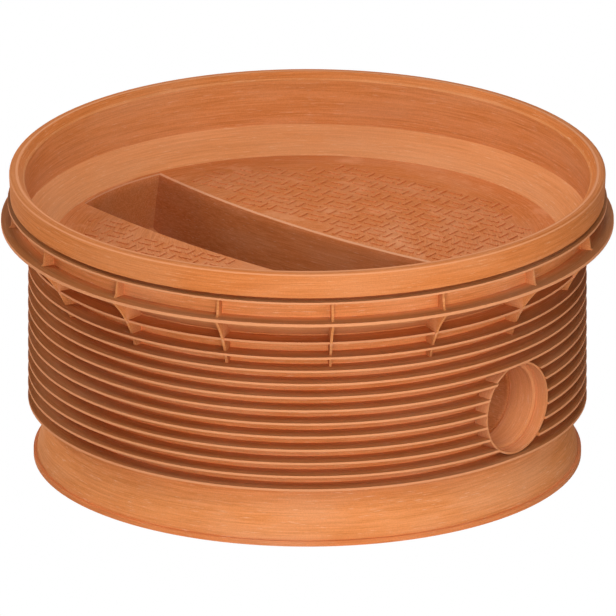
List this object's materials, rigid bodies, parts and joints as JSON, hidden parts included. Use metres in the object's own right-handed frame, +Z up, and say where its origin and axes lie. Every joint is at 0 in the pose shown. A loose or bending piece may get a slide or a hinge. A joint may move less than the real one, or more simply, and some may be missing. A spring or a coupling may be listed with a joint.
{
  "type": "drain inspection chamber base",
  "caption": "Round ribbed plastic drain inspection chamber base with a flow channel between flat benches, pipe sockets on opposite sides and a wide rim that takes the next ring.",
  "frame": {"origin": "middle of the underside, where the chamber stands on its bed", "axes": "+Z up along the chamber's axis, +X with the flow towards the outlet socket"},
  "size_m": [1.1978, 1.198, 0.585],
  "materials": {
    "shell_plastic": "matte injection-moulded polypropylene with fine streaks",
    "bench_plastic": "matte injection-moulded polypropylene",
    "socket_plastic": "matte injection-moulded polypropylene",
    "plate_plastic": "matte pressed polypropylene sheet"
  },
  "bodies": {
    "root": {"chamber_shell": "shell_plastic", "benching": "bench_plastic", "outlet_socket": "socket_plastic", "inlet_socket": "socket_plastic", "base_plate": "plate_plastic"}
  },
  "joints": []
}
